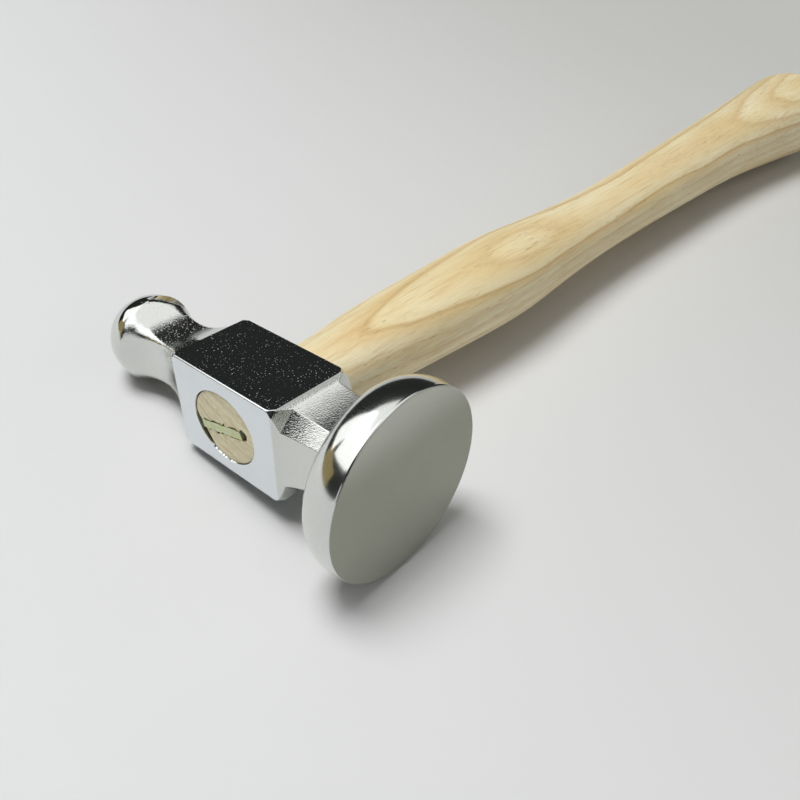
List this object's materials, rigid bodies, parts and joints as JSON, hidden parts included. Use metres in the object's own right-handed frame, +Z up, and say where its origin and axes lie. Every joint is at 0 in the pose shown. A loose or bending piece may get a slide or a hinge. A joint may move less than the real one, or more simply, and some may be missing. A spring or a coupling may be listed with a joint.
{
  "type": "ball peen hammer",
  "caption": "Chasing-type ball peen hammer: chromed head with a broad disc face, square eye block and ball peen, on a swelled ash handle held by a steel wedge.",
  "frame": {"origin": "middle of the box around the hammer, on the bench plane it lies on (z = 0)", "axes": "+Z up from the bench, +Y along the handle from the head to the grip, +X along the head from the ball to the striking face. The hammer lies on its disc's rim, its ball and its grip, so the head leans 7.5 degrees and the handle 0.3 degrees from those axes."},
  "size_m": [0.0618, 0.254, 0.0277],
  "materials": {
    "head": "polished plate, rougher in the necks, ground on the striking face",
    "handle": "sanded pale ash",
    "wedge": "yellow-green zinc plate"
  },
  "bodies": {
    "root": {"head": "head", "handle": "handle", "wedge": "wedge"}
  },
  "joints": []
}
